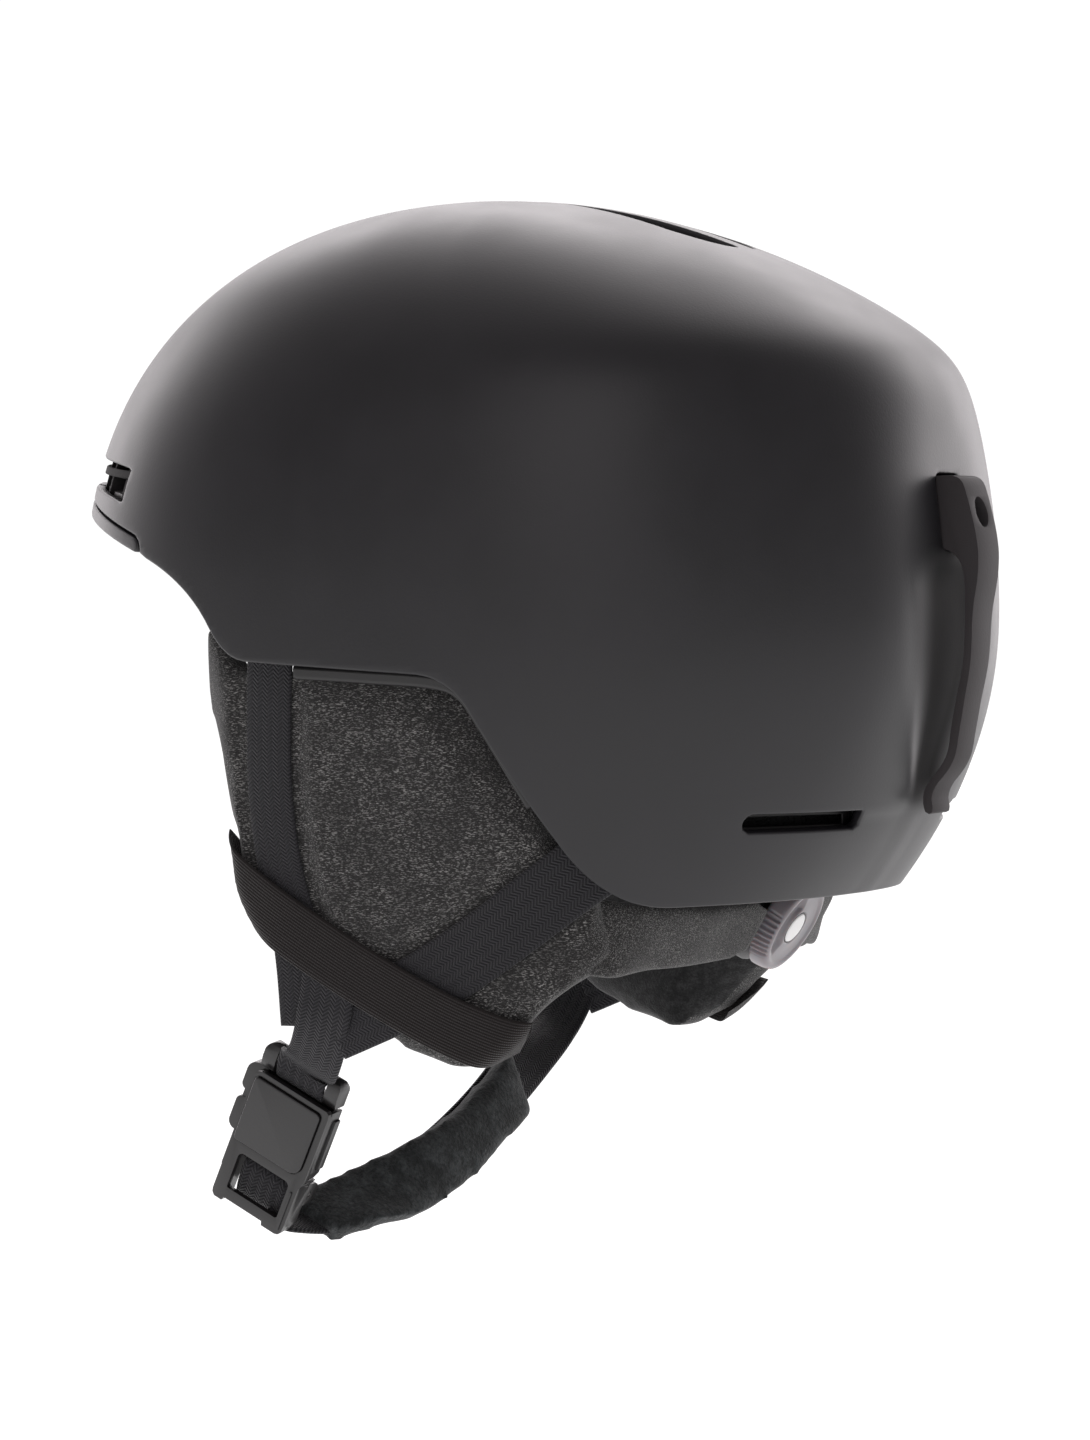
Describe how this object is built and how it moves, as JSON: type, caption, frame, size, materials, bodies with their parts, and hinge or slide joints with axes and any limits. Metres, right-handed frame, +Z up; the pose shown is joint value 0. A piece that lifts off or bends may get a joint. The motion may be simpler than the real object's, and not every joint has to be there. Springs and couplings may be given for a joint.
{
  "type": "ski helmet",
  "caption": "Hard-shell ski helmet with brim, ear pads, rear goggle-strap clip, turning fit dial and a chin strap closed by a sliding magnetic buckle.",
  "frame": {"origin": "where the crown of the wearer's head meets the flat underside of the crown pad, on the mid plane", "axes": "+Z up, -Y the way the wearer faces, +X the wearer's left"},
  "size_m": [0.216, 0.2747, 0.3046],
  "materials": {
    "shell": "matte, slightly soft-touch",
    "foam": "fine foam beads",
    "grey_plastic": "satin moulded",
    "black_plastic": "satin moulded",
    "smoke_plastic": "smoky satin",
    "white_plastic": "satin",
    "heather_fabric": "charcoal heather knit",
    "liner_fabric": "brushed mesh",
    "fleece": "fleece",
    "webbing": "woven polyester webbing",
    "elastic": "ribbed elastic",
    "rubber_trim": "matte",
    "steel": "satin"
  },
  "bodies": {
    "helmet": {"outer_shell": "shell", "front_brim": "shell", "eps_liner": "foam", "front_vent_grille": "grey_plastic", "top_vent_insert_left": "grey_plastic", "top_vent_insert_right": "grey_plastic", "rear_vent_insert_left": "grey_plastic", "rear_vent_insert_right": "grey_plastic", "goggle_clip_base": "grey_plastic", "goggle_clip_screw": "steel", "brow_pad": "liner_fabric", "side_pad_left": "liner_fabric", "side_pad_right": "liner_fabric", "crown_pad": "liner_fabric", "fit_band_left": "black_plastic", "fit_band_right": "black_plastic", "ear_pad_left": "heather_fabric", "ear_pad_trim_left": "rubber_trim", "front_strap_left": "webbing", "rear_strap_left": "webbing", "elastic_band_left": "elastic", "strap_joint_left": "webbing", "strap_anchor_front_left": "black_plastic", "strap_anchor_rear_left": "black_plastic", "nape_wing_left": "heather_fabric", "ear_pad_right": "heather_fabric", "ear_pad_trim_right": "rubber_trim", "front_strap_right": "webbing", "rear_strap_right": "webbing", "elastic_band_right": "elastic", "strap_joint_right": "webbing", "strap_anchor_front_right": "black_plastic", "strap_anchor_rear_right": "black_plastic", "nape_wing_right": "heather_fabric", "drop_strap": "webbing"},
    "nape_cradle": {"nape_cradle": "black_plastic", "nape_pad": "heather_fabric", "dial_housing": "black_plastic", "lace_left": "black_plastic", "lace_right": "black_plastic"},
    "fit_dial": {"dial_knob": "smoke_plastic", "dial_cap": "white_plastic", "lace_spool": "grey_plastic"},
    "goggle_clip_arm": {"goggle_clip_arm": "grey_plastic"},
    "buckle_tongue": {"buckle_tongue": "black_plastic", "tongue_magnet": "steel"},
    "chin_strap": {"chin_strap": "webbing", "chin_pad": "fleece", "buckle_receiver": "black_plastic", "buckle_cover": "black_plastic", "receiver_magnet": "steel", "lever_pin": "steel"},
    "adjuster_lever": {"adjuster_lever": "black_plastic"}
  },
  "joints": [
    {"name": "dial_turn", "type": "hinge", "parent": "nape_cradle", "child": "fit_dial", "pos_m": [0, 0.0807, -0.177], "axis": [0, -0.866, 0.5], "range_deg": [0, 540]},
    {"name": "cradle_slide", "type": "slide", "parent": "helmet", "child": "nape_cradle", "axis": [0, -1, 0], "range_m": [0, 0.012]},
    {"name": "goggle_clip_flex", "type": "hinge", "parent": "helmet", "child": "goggle_clip_arm", "pos_m": [0, 0.1395, -0.07135], "axis": [1, 0, 0], "range_deg": [0, 25], "stiffness_Nm_per_rad": 0.2},
    {"name": "buckle_slide", "type": "slide", "parent": "helmet", "child": "buckle_tongue", "axis": [0, -0.8905, 0.4549], "range_m": [0, 0.014], "deforming": ["drop_strap"]},
    {"name": "chin_strap_swing", "type": "hinge", "parent": "helmet", "child": "chin_strap", "pos_m": [-0.0803, -0.033, -0.21], "axis": [0, 1, 0], "range_deg": [0, 65]},
    {"name": "adjuster_lever_tilt", "type": "hinge", "parent": "chin_strap", "child": "adjuster_lever", "pos_m": [0.05443, -0.06049, -0.24914], "axis": [0, 0.8905, -0.4549], "range_deg": [0, 50]}
  ],
  "couplings": [
    {"joint": "cradle_slide", "follows": "dial_turn", "m_per_rad": 0.0012732}
  ]
}
